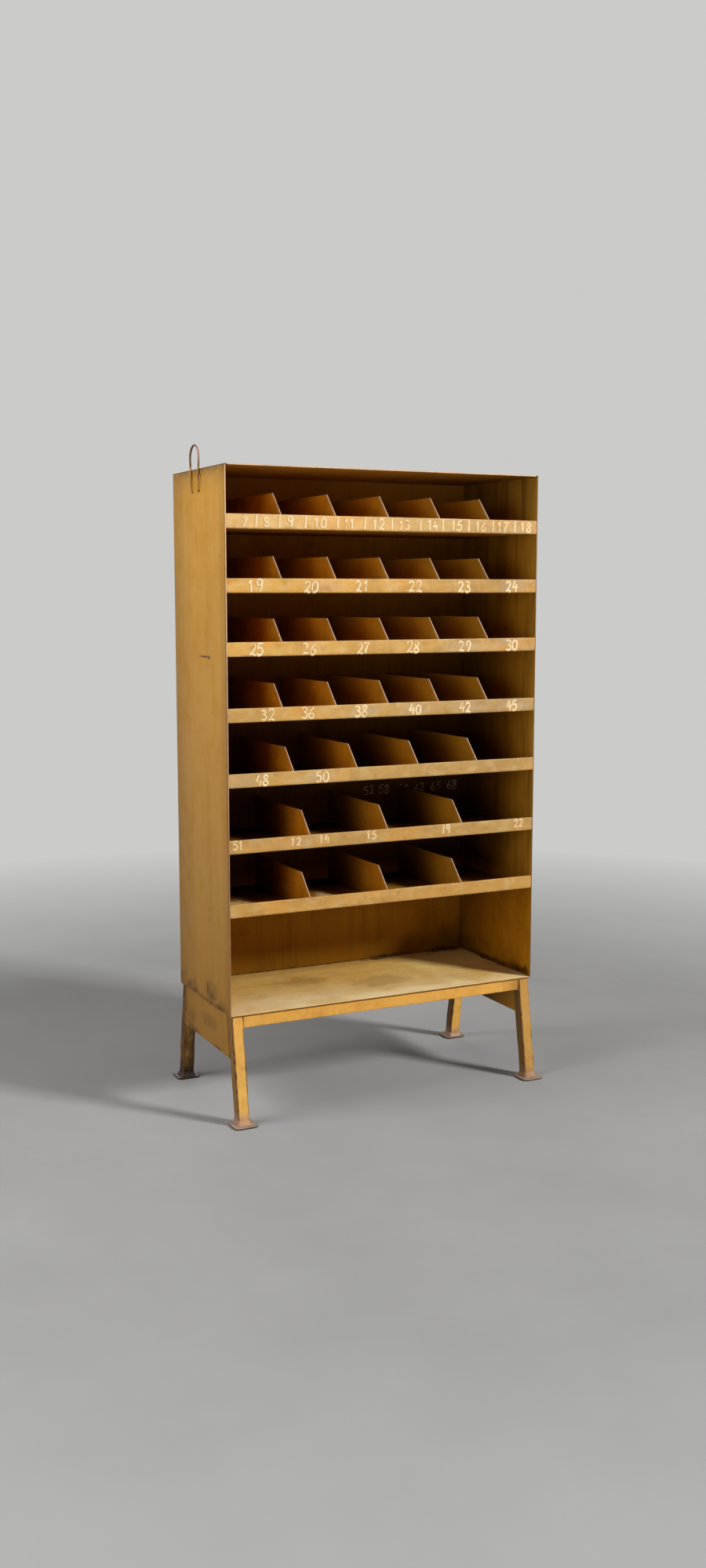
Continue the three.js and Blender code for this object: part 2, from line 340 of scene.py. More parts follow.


# Layers of dirt and wear, and of painted light and shade, placed on the rack
def side_stains(place):
    """Darker towards the ground and the rims, a grimy weld seam above the stand, scratches, smudges."""
    seam = stains(place, 30, ((-500, 0, 312), (60, 260, 12)), ((500, 0, 312), (60, 260, 12)))
    blotches = stains(
        place, 34, ((-500, -50, 345), (60, 70, 52)), ((-500, 90, 330), (60, 70, 26)),
        ((-500, 175, 340), (60, 40, 34)), ((-500, -150, 325), (60, 60, 22)), ((-495, 130, 215), (30, 50, 46)),
        ((-495, -20, 250), (30, 90, 26)),
    )
    smudges = stains(
        place, 14, ((-500, -62, 336), (60, 30, 16)), ((-500, -30, 352), (60, 12, 22)),
        ((-500, 203, 334), (60, 8, 34)), ((-495, 176, 250), (30, 8, 52)), ((-500, 80, 320), (60, 34, 10)),
        ((-500, -130, 318), (60, 44, 9)), ((-500, 130, 326), (60, 26, 16)), ((-495, 110, 190), (30, 60, 9)),
        ((-495, -90, 187), (30, 60, 7)),
    )
    scratches = stains(
        place, 9, ((-500, -36, 1321), (20, 52, 4)), ((-500, -74, 1320), (20, 14, 7)),
        ((-500, -51, 591), (20, 5, 6)), ((-500, -50, 560), (20, 5, 5)), ((-500, -206, 1050), (4, 3, 900)),
    )
    return [
        (0.72, "#7c531a", band(place, "z", 1900, 200)),
        (0.5, "#66480f", band(place, "y", 60, 207)),
        (0.4, "#6a4412", band(place, "y", -160, -208)),
        (0.4, "#6b4c1c", band(place, "z", 1780, 1845)),
        (0.6, "#4a3010", band(place, "z", 1820, 1846), patches(place, 30, 0.36, 0.56)),
        (0.6, "#5a3a10", seam),
        (0.55, "#6a4712", blotches),
        (0.7, "#47290b", smudges),
        (0.7, "#33230a", band(place, "side", 493.5, 492.5), band(place, "z", 311, 309.5)),
        (0.9, "#3c230a", scratches),
    ]


def inside_stains(place):
    """Dust, soot and painted shade in the pigeonholes: the walls darker in the rows and the backs darker
    still, thickest in the lower rows, and the bay's walls darker towards the back; the walls paler near the
    open front, as painted light; a painted shadow in the bay's rear right corner; grimy trails down the
    walls, and a grimy foot.
    """
    rows = band(place, "z", 600, 640)
    bay = band(place, "z", 640, 600)
    top = band(place, "z", 1700, 1740)
    walls = band(place, "side", 480, 490)
    shade_and_dust_behind = band(place, "y", -150, 120)
    trails = patches(place, 34, 0.48, 0.7, detail=5, stretch=(1, 1, 12))
    corner = stains(
        place, 90, ((420, 205, 340), (190, 60, 80)), ((497, 150, 330), (60, 130, 60)),
        ((497, -120, 326), (60, 110, 22)),
    )
    foot_dirt = stains(
        place, 12, ((200, 205, 314), (90, 40, 12)), ((430, 205, 316), (70, 40, 12)),
        ((497, 20, 316), (40, 230, 14)), ((497, -150, 322), (40, 60, 14)), ((497, -185, 328), (40, 16, 22)),
        ((-497, 0, 314), (40, 260, 12)), ((-120, 205, 312), (420, 40, 6)),
    )
    return [
        # Painted shade: the walls of the pigeonhole rows darker
        (0.3, "#2e1603", rows, walls),
        # Painted shade, with dust and soot: darker towards the back, most in the lower rows and towards the
        # right
        (0.68, "#0f0600", shade_and_dust_behind, rows, band(place, "z", 1500, 1000)),
        (0.35, "#120800", shade_and_dust_behind, rows, band(place, "x", -50, 350), band(place, "z", 1740, 1700)),
        (0.5, "#d09a40", top),
        (0.5, "#2e1603", top, band(place, "x", 485, 495)),
        (0.5, "#1c0f02", band(place, "z", 1841, 1843.5), band(place, "x", 100, 500)),
        # Painted light: the walls of the rows paler near the open front
        (0.4, "#cc9a3a", rows, walls, band(place, "y", -20, -190)),
        (0.55, "#2a1502", trails, rows, walls),
        (0.1, "#4a2804", trails),
        (0.2, "#4a2804", bay),
        # Painted shade: the bay's walls darker towards the back
        (0.45, "#3a1e04", bay, walls, band(place, "y", -80, 200)),
        (0.45, "#3a1c02", band(place, "z", 460, 320), band(place, "y", 190, 203)),
        # Painted shadow in the bay's rear right corner
        (0.42, "#2a1804", corner),
        (0.75, "#1d1004", foot_dirt),
    ]


def plate_stains(place):
    """Shelf plates: painted in front, two painted pools of light on the lowest, and black behind with dust
    and painted shade.
    """
    shade_and_dust_behind = band(place, "y", -50, 120)
    rubbed = stains(place, 30, ((-405, -25, 597), (50, 40, 12)), ((-125, -25, 597), (32, 60, 12)))
    return [
        # Painted shade, with dust: darker behind, most in the lower rows
        (0.45, "#2e1804", shade_and_dust_behind),
        (0.85, "#170b02", shade_and_dust_behind, band(place, "z", 1350, 950)),
        # Painted light: two pale pools where light falls on the lowest plate
        (0.8, "#f0cc90", rubbed),
    ]


def divider_stains(place):
    """Olive smears, duller towards the right; painted shade that darkens them towards the back, most in the
    lower rows.
    """
    return [
        (0.22, "#7a6018", patches(place, 40, 0.48, 0.68, detail=5)),
        (0.65, "#a88026", band(place, "x", -250, 300)),
        # Painted shade: darker towards the back, most in the lower rows
        (0.45, "#4a2402", band(place, "y", -60, 140)),
        (0.78, "#2a1402", band(place, "y", -130, 80), band(place, "z", 1300, 900)),
    ]


def lip_stains(place):
    """Paler along the top row, dirtier lower down, scuffed grey where old numbers were wiped off."""
    top_row = band(place, "z", 1600, 1660)
    wiped = stains(
        place, 40, ((-465, -210, 982), (75, 40, 34)), ((-205, -210, 1520), (60, 40, 24)),
        ((250, -210, 1346), (80, 40, 26)), ((400, -210, 1346), (90, 40, 26)),
        ((270, -210, 1164), (80, 40, 26)), ((420, -210, 1164), (80, 40, 26)),
        ((90, -210, 1164), (80, 40, 26)), ((-210, -210, 982), (80, 40, 24)),
        ((420, -210, 1520), (60, 40, 22)), ((-80, -210, 1164), (70, 40, 22)),
        ((-290, -210, 796), (80, 40, 22)),
    )
    return [
        (0.3, "#dcb884", top_row),
        (0.5, "#80622f", band(place, "x", -150, 400), band(place, "z", 850, 950)),
        (0.28, "#6d5128", band(place, "z", 900, 830), band(place, "z", 700, 770)),
        (0.5, "#a2834f", band(place, "z", 1400, 1100)),
        (0.35, "#b07a2c", band(place, "z", 850, 600)),
        (0.4, "#a5927a", wiped),
        (0.35, "#e4c692", patches(place, 22, 0.46, 0.8, detail=8, stretch=(1.6, 1, 1))),
        (0.3, "#ecd6a8", patches(place, 6, 0.52, 0.7, stretch=(1, 1, 6)), top_row),
        (0.16, "#9a7034", patches(place, 16, 0.56, 0.72, stretch=(1, 1, 4))),
        (0.4, "#d8922e", patches(place, 110, 0.5, 0.66, stretch=(2, 1, 1))),
        (0.4, "#8a5f28", patches(place, 34, 0.54, 0.7, detail=6)),
    ]


def floor_stains(place):
    """Trodden pale along the front, brown rings of damp in the middle, black dirt along the back, and painted
    light that pales the shaded rear right.
    """
    front = stains(place, 70, ((-330, -150, 312), (230, 80, 40)), ((120, -185, 312), (260, 40, 40)))
    outer = stains(place, 60, ((60, -50, 312), (110, 70, 40)), ((-170, 60, 312), (90, 60, 40)))
    inner = stains(place, 60, ((60, -50, 312), (75, 46, 40)))
    dusty = stains(place, 80, ((390, 90, 312), (240, 170, 40)))
    dirt = stains(
        place, 26, ((180, 208, 312), (60, 30, 40)), ((420, 205, 312), (90, 18, 40)),
        ((498, 60, 312), (14, 170, 40)), ((-60, 210, 312), (280, 9, 40)), ((120, 204, 312), (14, 10, 30)),
    )
    return [
        (0.95, "#fbe2a8", band(place, "y", 20, -190), patches(place, 150, 0.32, 0.6, detail=6)),
        (0.5, "#ffe9b6", front),
        (0.45, "#8d6227", outer),
        (0.4, "#dcb670", inner),
        # Painted light: the shaded rear right of the floor sheet paled
        (0.75, "#f8dc8c", dusty),
        (0.9, "#1c1005", dirt),
    ]


def stand_stains(place):
    """Orange tinge under the floor sheet, grime and painted shade on the inner faces, painted shade on the
    outer faces of the left legs, paint knocked off above the feet, and the rear left leg the dirtiest, with
    painted shade."""
    inner = (band(place, "z", 273, 271), band(place, "side", 457, 459), band(place, "side", 464.5, 461.5))
    rear_left = (band(place, "x", -400, -450), band(place, "y", 100, 160))
    return [
        (0.5, "#d8953a", band(place, "z", 200, 300)),
        (0.22, "#8a5a1c", patches(place, 30, 0.5, 0.68, detail=6)),
        (0.75, "#4f2f0d", band(place, "z", 305, 306.5)),
        # Painted shade, with grime: the inner faces of the legs darker
        (0.88, "#3f2104", *inner),
        # Painted shade: the outer faces of the left legs darker
        (0.8, "#50310f", band(place, "x", -490.8, -492.8)),
        (0.75, "#a98570", band(place, "z", 45, 14), patches(place, 22, 0.26, 0.44)),
        (0.5, "#8d6a55", band(place, "z", 30, 18)),
        # The rear left leg darkest: dirt, and painted shade
        (0.5, "#5a3006", *rear_left),
        (0.8, "#2c1303", *rear_left, patches(place, 45, 0.6, 0.44, stretch=(1, 1, 2))),
        (0.85, "#2b1d13", *rear_left, band(place, "z", 40, 20)),
        (0.5, "#7d561c", band(place, "x", 400, 450), band(place, "y", -100, -160)),
    ]


def foot_stains(place):
    """Plates scuffed pink-grey on top, black round the lower rim with dirt and a painted contact shadow, and
    darker at the rear with dirt and painted shade.
    """
    rear = band(place, "y", 0, 100)
    return [
        # Painted contact shadow, with dirt, round the lower rim
        (0.85, "#241c16", band(place, "z", 5.2, 3.5)),
        # Dirt and painted shade at the rear, most at the rear left
        (0.4, "#4a3a2c", rear),
        (0.95, "#1f1a17", rear, band(place, "x", 0, -100)),
    ]


def loop_stains(place):
    """The paint of the side still on the bar below the top edge, rubbed pink on one arm of the loop."""
    painted = band(place, "z", 1858, 1846)
    return [
        (0.7, "#b48f7c", band(place, "y", 12, -10), band(place, "z", 1850, 1880)),
        (0.92, "#b5873a", painted),
        (0.6, "#6a481c", painted, patches(place, 12, 0.46, 0.58, stretch=(1, 1, 4))),
    ]


def edge_stains(place):
    """Cut edges rubbed to the primer in front, darker further back, and dark with dirt low down and at the
    right.
    """
    rims = band(place, "side", 490, 494)
    return [
        (0.85, "#8f6132", rims, band(place, "z", 1500, 700)),
        (0.9, "#3a1e06", band(place, "side", 494, 490), band(place, "y", -135, -100)),
        (0.8, "#4a3214", rims, band(place, "z", 1843.6, 1844.1)),
        (0.75, "#4a3014", rims, band(place, "x", -100, 100)),
    ]


def chalk_stains(place):
    """Chalk dust wiped half away: the dark wall shows through."""
    return [(0.7, "#1e0f04", patches(place, 11, 0.42, 0.66, detail=5))]


def numeral_stains(place):
    """Thin white brushed over ochre and rubbed: the paint below shows through in patches."""
    return [
        (0.7, "#d2a55c", patches(place, 7, 0.45, 0.66, detail=5)),
        (0.45, "#c9a873", band(place, "z", 860, 830)),
        (0.25, "#d8b780", band(place, "z", 1600, 1660)),
    ]


def older_stains(place):
    """Wiped numbers: a greyish trace that is gone in patches, where the ochre of the lip shows."""
    return [(0.85, "#cc9a4a", patches(place, 9, 0.4, 0.56, detail=5))]


def top_stains(place):
    """A film of grey dust on top, with darker rings where things stood."""
    rings = stains(place, 40, ((-180, 60, 1847), (95, 80, 60)), ((250, -40, 1847), (120, 60, 60)))
    cleaner = stains(place, 40, ((-180, 60, 1847), (62, 52, 60)), ((250, -40, 1847), (90, 40, 60)))
    return [
        (0.5, "#a08a62", patches(place, 160, 0.3, 0.62, detail=6)),
        (0.25, "#6e4f1e", rings),
        (0.3, "#b98a34", cleaner),
    ]


def rear_stains(place):
    """Runs and scuffs down the back, a dull band near the ground, rims rubbed brown against a wall,
    and the marks of heat where the shelves are welded on."""
    heat = patches(place, 60, 0.4, 0.62)
    levels = [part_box(f"shelf_{number}")[0].z / MM for number in ROWS]
    lines = [(band(place, "z", level - 20, level), band(place, "z", level + 20, level)) for level in levels]
    scuffs = stains(
        place, 26, ((-210, 207, 1190), (130, 30, 12)), ((160, 207, 860), (60, 30, 16)),
        ((300, 207, 1490), (100, 30, 9)), ((-330, 207, 640), (24, 30, 70)), ((40, 207, 1620), (16, 30, 60)),
        ((0, 207, 316), (480, 30, 14)), ((-440, 207, 420), (40, 30, 60)), ((430, 207, 700), (30, 30, 90)),
    )
    return [
        (0.5, "#7c531a", band(place, "z", 1500, 310)),
        (0.35, "#6b4413", patches(place, 30, 0.52, 0.7, stretch=(1, 1, 16))),
        (0.4, "#5f3f12", band(place, "side", 440, 497)),
        *[(0.32, "#6a4613", heat, *line) for line in lines],
        (0.4, "#4a3210", scuffs),
    ]


# Carcass: ochre oil enamel brushed on by hand, dull and cloudy with age
outside_enamel = aged_enamel(
    "brushed_ochre_enamel", "#c08a28", "#c99536", "#936314", UPRIGHT, cloudy=0.25, dirt_and_light_layers=side_stains)
top_enamel = aged_enamel(
    "dusty_top_enamel", "#bb8830", "#c4964a", "#8f6a30", LENGTHWISE, shine=0.05, dusty=0.2,
    dirt_and_light_layers=top_stains)
rear_enamel = aged_enamel(
    "plain_rear_enamel", "#c08a28", "#c99536", "#936314", UPRIGHT, below=DARK_CHIPS, dirt_and_light_layers=rear_stains)
inside_enamel = aged_enamel(
    "soiled_ochre_enamel_painted_shade", "#b97a12", "#c48820", "#744a0a", UPRIGHT, shine=0.06, below=DARK_CHIPS,
    dirt_and_light_layers=inside_stains)
plate_enamel = aged_enamel(
    "dusty_ochre_painted_light_and_shade", "#b87c20", "#c48c34", "#6f480f", LENGTHWISE, shine=0.06, dirt_and_light_layers=plate_stains)
lip_enamel = aged_enamel(
    "handled_ochre_enamel", "#cc9842", "#d6a652", "#a3732a", LENGTHWISE, chipped=0.35, dirt_and_light_layers=lip_stains)
# Dividers: lit and shaded copies of one ochre; the shaded face is painted a warmer, brighter ochre, as
# painted bounce light
painted_bounce_enamel = aged_enamel(
    "divider_painted_bounce_ochre", "#e68e16", "#ee9e2a", "#96560a", CROSSWISE, shine=0.1, dirt_and_light_layers=divider_stains)
lit_enamel = aged_enamel(
    "divider_lit_face_ochre", "#cf9532", "#d8a242", "#8e5c14", CROSSWISE, shine=0.1, dirt_and_light_layers=divider_stains)
# Floor sheet and stand: paler where feet and loads rubbed the paint, with a painted pool of light on the
# floor sheet and painted shade on the legs
floor_enamel = aged_enamel(
    "trodden_ochre_painted_light", "#e2b560", "#ecca80", "#ac7e34", LENGTHWISE, shine=0.15, dirt_and_light_layers=floor_stains)
stand_enamel = aged_enamel(
    "stand_ochre_enamel", "#dba448", "#e3b45c", "#9e6820", UPRIGHT, chipped=0.65, below=DARK_CHIPS,
    dirt_and_light_layers=stand_stains)
# Sheared edges: pinkish primer where hands rub, brown grime where they do not
edge_enamel = aged_enamel(
    "rubbed_sheet_edge", "#deb491", "#e8c6a4", "#a07a52", LENGTHWISE, chipped=0.1, specks=0.8, shine=0.1,
    dirt_and_light_layers=edge_stains)
grimy_edge = aged_enamel(
    "grimy_sheet_edge", "#8a5c26", "#a8763a", "#4a2e10", LENGTHWISE, chipped=0.2, specks=0.8, shine=0.1)
# Hot-rolled steel that has lost its paint: dull under dirt and painted shade on the feet, rusty on the bar
foot_steel = aged_enamel(
    "mill_steel_dirt_and_painted_shade", "#96806f", "#b79c89", "#54463b", LENGTHWISE, chipped=0.2, below=DARK_CHIPS,
    dirt_and_light_layers=foot_stains)
loop_steel = aged_enamel(
    "rusty_round_bar", "#54361c", "#7a5638", "#2b1a0c", UPRIGHT, chipped=0.4, dirt_and_light_layers=loop_stains)
# Chalk and thin white oil paint, matt and wiped
chalk = aged_enamel(
    "rubbed_chalk", "#f0e2d2", "#f6ebdf", "#a89078", UPRIGHT, specks=0, shine=0.05, dirt_and_light_layers=chalk_stains)
older_paint = aged_enamel(
    "wiped_brush_paint", "#b3905c", "#c49f66", "#8a6a3e", UPRIGHT, specks=0, dirt_and_light_layers=older_stains)
numeral_paint = aged_enamel(
    "white_brush_paint", "#ecdcb8", "#f2e7cc", "#d2b47c", UPRIGHT, specks=0, dirt_and_light_layers=numeral_stains)


# Mesh work
def named(start):
    """The CAD nodes whose names start alike."""
    return sorted(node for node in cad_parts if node.startswith(start))


def solid_of(node):
    """A copy of a CAD solid with its loose triangles merged into whole faces, and its two corners."""
    bm = bmesh.new()
    bm.from_mesh(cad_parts[node].data)
    bmesh.ops.remove_doubles(bm, verts=bm.verts, dist=MERGE)
    bmesh.ops.dissolve_limit(bm, angle_limit=FLAT, verts=bm.verts, edges=bm.edges)
    return bm, *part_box(node)


def wide_faces(bm, count):
    """The largest faces of a piece."""
    return sorted(bm.faces, key=lambda face: face.calc_area())[-count:]


def cut(bm, axis, places):
    """Adds an edge loop wherever one of the planes square to an axis crosses the piece."""
    for place in places:
        everything = bm.verts[:] + bm.edges[:] + bm.faces[:]
        bmesh.ops.bisect_plane(bm, geom=everything, plane_co=AXES[axis] * place, plane_no=AXES[axis])


def spaced(low, high, step):
    """Places between two ends: one a rim's width from each end, and the rest evenly between those."""
    first = low + RIM
    last = high - RIM
    count = max(1, round((last - first) / step))
    return [first + (last - first) * number / count for number in range(count + 1)]


def rounded(bm, edges, radius, segments):
    """Rounds some edges of a piece."""
    bmesh.ops.bevel(
        bm, geom=edges, offset=radius, offset_type="OFFSET", segments=segments,
        profile=0.5, affect="EDGES", material=-1,
    )


def soften(bm, radius):
    """Rounds every sharp edge a little, as paint and handling do."""
    sharp = [edge for edge in bm.edges if edge.is_manifold and edge.calc_face_angle() > SHARP]
    rounded(bm, sharp, radius, EDGE_SEGMENTS)


def mark_rub(bm, share):
    """Stores on each vertex how much it is rubbed: 0 not at all, 1 as most edges are."""
    shares = [share(vertex) for vertex in bm.verts]
    layer = bm.verts.layers.float.new("rub")
    for vertex, value in zip(bm.verts, shares):
        vertex[layer] = value


def ripple(point, length, seed):
    """A smooth random number between about -1 and 1 that varies over a length."""
    return noise.noise(point / length + Vector((seed, 2.3 * seed, 0.7 * seed)))


def pointed(start, direction):
    """The move and turn that take the origin to a start and the Z axis to a direction."""
    return Matrix.Translation(start) @ direction.to_track_quat("Z", "Y").to_matrix().to_4x4()


def disc(bm, sides, radius, placed=Matrix()):
    """A flat round face, to grow a bar, a bead or a button from."""
    ring = bmesh.ops.create_circle(bm, cap_ends=True, segments=sides, radius=radius, matrix=placed)
    return ring["verts"][0].link_faces[0]


def grown(bm, face, step, swell=1):
    """Extrudes an end face by a step, scales the new end about its middle, and gives that end face."""
    region = [face, *face.edges, *face.verts]
    made = bmesh.ops.extrude_face_region(bm, geom=region)["geom"]
    fresh = next(item for item in made if isinstance(item, bmesh.types.BMFace))
    bmesh.ops.translate(bm, verts=fresh.verts, vec=step)
    middle = Matrix.Translation(-fresh.calc_center_median())
    bmesh.ops.scale(bm, vec=(swell, swell, swell), space=middle, verts=fresh.verts)
    return fresh


def new_object(name, data):
    """An object at the origin that shows a mesh, a lamp or a camera."""
    item = bpy.data.objects.new(name, data)
    bpy.context.scene.collection.objects.link(item)
    return item


def mesh_of(name, bm, materials):
    """Turns a bmesh into a mesh with its materials."""
    mesh = bpy.data.meshes.new(name)
    bm.to_mesh(mesh)
    bm.free()
    for material in materials:
        mesh.materials.append(material)
    return mesh


def finish_piece(name, bm, materials, slot, *nodes):
    """Makes a piece of the object from a bmesh, in place of CAD nodes where these are named."""
    mesh = mesh_of(name, bm, materials)
    # Normals that came with a CAD solid do not fit its new faces
    if "custom_normal" in mesh.attributes:
        mesh.attributes.remove(mesh.attributes["custom_normal"])
    mesh.shade_smooth()
    mesh.set_sharp_from_angle(angle=SMOOTH)
    piece = new_object(name, mesh)
    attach(piece, "root")
    if nodes:
        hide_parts(*nodes)


# Carcass
def from_rim(point, across, low, high):
    """How far a point on a sheet lies from the sheet's nearest rim."""
    inplane = [number for number, axis in enumerate("xyz") if axis != across]
    return min(min(point[number] - low[number], high[number] - point[number]) for number in inplane)


def panel_bow(node, across, point, low, high):
    """How far a sheet stands from flat at a point on it."""
    level = point - AXES[across] * point.dot(AXES[across])
    give = min(1, from_rim(point, across, low, high) / PANEL_HELD)
    return AXES[across] * PANEL_WAVE * give * ripple(level, PANEL_WAVE_LENGTH, len(node))


def sheet_panel(node, across, outward, faces, edge=edge_enamel, slot="ochre_paint"):
    """A flat sheet that has lost a little of its flatness: outer face, inner face and rubbed cut edges."""
    bm, low, high = solid_of(node)
    for number, axis in enumerate("xyz"):
        if axis != across:
            cut(bm, axis, spaced(low[number], high[number], PANEL_STEP))
    soften(bm, EDGE_RADIUS)
    mark_rub(bm, lambda vertex: 1 if from_rim(vertex.co, across, low, high) < RIM / 2 else 0)
    for face in bm.faces:
        facing = face.normal.dot(AXES[across]) * outward
        face.material_index = 0 if facing > FACING else 1 if facing < -FACING else 2
    for vertex in bm.verts:
        vertex.co += panel_bow(node, across, vertex.co, low, high)
    finish_piece("painted_" + node, bm, [*faces, edge], slot, node)


def lip_bow(number, point, low, high):
    """How far a lip stands from straight at a point on it, to the front and up."""
    height = (point.z - low.z) / (high.z - low.z)
    held = min(1, (high.x - abs(point.x)) / LIP_HELD) * height * LIP_WAVE
    along = Vector((point.x, 0, 0))
    out = held * ripple(along, LIP_WAVE_LENGTH, number)
    rise = held * ripple(along, LIP_WAVE_LENGTH, number + LIP_RISE_SEED) / 2
    return Vector((0, out, rise))


def shelf(number):
    """A folded shelf: worn along the top of its lip and round its fold, the lip no longer straight."""
    node = f"shelf_{number}"
    bm, low, high = solid_of(node)
    cut(bm, "x", spaced(low.x, high.x, LIP_STEP))
    cut(bm, "z", [low.z + 2 * RIM, high.z - RIM])
    cut(bm, "y", [low.y + RIM, low.y + 4 * RIM])
    soften(bm, EDGE_RADIUS)

    def share(vertex):
        if vertex.co.z > high.z - RIM / 2:
            return 1
        folded = vertex.co.y < low.y + LIP_DEPTH and vertex.co.z < low.z + LIP_DEPTH
        return FOLD_RUB if folded else 0

    mark_rub(bm, share)
    for face in bm.faces:
        face.material_index = 0 if face.calc_center_median().y < low.y + RIM else 1
    for vertex in bm.verts:
        if vertex.co.y < low.y + RIM:
            vertex.co += lip_bow(number, vertex.co, low, high)
    finish_piece("painted_" + node, bm, [lip_enamel, plate_enamel], "ochre_paint", node)


def cut_plate(node, left, right, edge):
    """A plate cut to an outline, its rims worn, with the rim along a slanted front rubbed to the primer."""
    bm, low, _ = solid_of(node)
    soften(bm, EDGE_RADIUS)
    faces = wide_faces(bm, 2)
    for face in bm.faces:
        face.material_index = 2 if face not in faces else 0 if face.normal.x < 0 else 1
    rims = bmesh.ops.inset_individual(bm, faces=faces, thickness=FRONT_RIM)["faces"]
    for face in rims:
        if face.calc_center_median().y < low.y + DIVIDER_KNEE:
            face.material_index = 2
    middle = {vertex for face in faces for vertex in face.verts}
    mark_rub(bm, lambda vertex: 0 if vertex in middle else 1)
    finish_piece("painted_" + node, bm, [left, right, edge], "ochre_paint", node)


# Stand
def leg(node):
    """A square tube leg, worn on its corners and knocked about."""
    bm, low, high = solid_of(node)
    faces = wide_faces(bm, TUBE_FACES)
    bmesh.ops.inset_individual(bm, faces=faces, thickness=RIM)
    middle = {vertex for face in faces for vertex in face.verts}

    def share(vertex):
        if vertex in middle:
            return 0
        return LEFT_RUB if vertex.co.x < low.x + RIM / 2 else 1

    mark_rub(bm, share)
    cut(bm, "z", spaced(low.z, high.z, LEG_STEP))
    for vertex in bm.verts:
        give = min(1, (vertex.co.z - low.z) / PANEL_HELD, (high.z - vertex.co.z) / PANEL_HELD)
        vertex.co.x += LEG_DENT * give * ripple(vertex.co, LEG_DENT_LENGTH, LEG_SEEDS[0])
        vertex.co.y += LEG_DENT * give * ripple(vertex.co, LEG_DENT_LENGTH, LEG_SEEDS[1])
    finish_piece("painted_" + node, bm, [stand_enamel], "ochre_paint", node)


def rail(node):
    """An angle bar under the floor panel, worn on its lower edge."""
    bm, low, high = solid_of(node)
    cut(bm, "x", spaced(low.x, high.x, PANEL_STEP))
    cut(bm, "z", [low.z + RIM, high.z - RIM])
    soften(bm, EDGE_RADIUS)
    mark_rub(bm, lambda vertex: 1 if vertex.co.z < low.z + RIM / 2 else 0)
    finish_piece("painted_" + node, bm, [stand_enamel], "ochre_paint", node)


def foot(node):
    """A foot plate that has been dragged about: round corners, battered rim, an uneven upper face."""
    low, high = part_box(node)
    size = high - low
    bm = bmesh.new()
    placed = Matrix.Translation((low + high) / 2) @ Matrix.Diagonal((*size, 1))
    bmesh.ops.create_cube(bm, size=1, matrix=placed)
    upright = [edge for edge in bm.edges if abs(edge.verts[0].co.z - edge.verts[1].co.z) > MM]
    rounded(bm, upright, FOOT_CORNER, FOOT_SEGMENTS)
    soften(bm, FOOT_RIM)
    for number in (0, 1):
        count = round(size[number] / FOOT_STEP)
        cut(bm, "xyz"[number], [low[number] + size[number] * step / count for step in range(1, count)])
    mark_rub(bm, lambda vertex: 1 if vertex.co.z > low.z + FOOT_RIM else 0)
    for vertex in bm.verts:
        if vertex.co.z > low.z + FOOT_RIM:
            vertex.co.z -= FOOT_DENT * abs(ripple(vertex.co, FOOT_DENT_LENGTH, FOOT_SEED))
    finish_piece("steel_" + node, bm, [foot_steel], "foot_steel", node)


# Lifting loop
def lifting_loop():
    """The round bar bent over into a loop, both straights leaning in towards their ends."""
    low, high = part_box("lifting_loop")
    bar = (high.x - low.x) / 2
    radius = (high.y - low.y) / 2 - bar
    middle = Vector(((low.x + high.x) / 2, (low.y + high.y) / 2, high.z - bar - radius))
    reach = Vector((0, LOOP_FOOTING / 2, low.z - middle.z))
    touch = math.atan2(reach.z, reach.y) + math.acos(radius / reach.length)  # where the bend meets a straight
    straight = math.sqrt(reach.length ** 2 - radius ** 2)
    up = Vector((0, -math.sin(touch), math.cos(touch)))
    down = Vector((0, up.y, -up.z))
    start = middle + radius * Vector((0, math.cos(touch), math.sin(touch))) - up * straight
    turn = Matrix.Rotation((math.pi - 2 * touch) / LOOP_TURNS, 3, "X")
    bm = bmesh.new()
    face = disc(bm, LOOP_SIDES, bar, pointed(start, up))
    for _ in range(LOOP_STEPS):
        face = grown(bm, face, up * straight / LOOP_STEPS)
    for _ in range(LOOP_TURNS):
        face = grown(bm, face, Vector())
        bmesh.ops.rotate(bm, cent=middle, matrix=turn, verts=face.verts)
    for _ in range(LOOP_STEPS):
        face = grown(bm, face, down * straight / LOOP_STEPS)
    bmesh.ops.recalc_face_normals(bm, faces=bm.faces)
    mark_rub(bm, lambda vertex: LOOP_RUB)
    finish_piece("steel_lifting_loop", bm, [loop_steel], "loop_steel", "lifting_loop")


# Welds
def finish_weld(name, bm, enamel):
    """Makes a piece of the object from closed lumps of weld."""
    bmesh.ops.recalc_face_normals(bm, faces=bm.faces)
    mark_rub(bm, lambda vertex: WELD_RUB)
    finish_piece(name, bm, [enamel], "ochre_paint")


def bead(bm, start, end, radius):
    """A run of weld: a round bead with a ripple at every step and tapered ends."""
    run = end - start
    steps = max(BEAD_LEAST, round(run.length / (RIPPLES * radius)))
    face = disc(bm, BEAD_SIDES, radius * BEAD_TIP, pointed(start, run))
    width = BEAD_TIP
    for step in range(1, steps + 1):
        wanted = BEAD_TIP if step == steps else dice.uniform(*BEAD_SWELL) - BEAD_RIPPLE * (step % 2)
        face = grown(bm, face, run / steps, wanted / width)
        width = wanted


def weld_piece(name, runs, enamel):
    """One piece that holds several runs of weld, each with its start, end and radius."""
    bm = bmesh.new()
    for start, end, radius in runs:
        bead(bm, Vector(start), Vector(end), radius)
    finish_weld(name, bm, enamel)


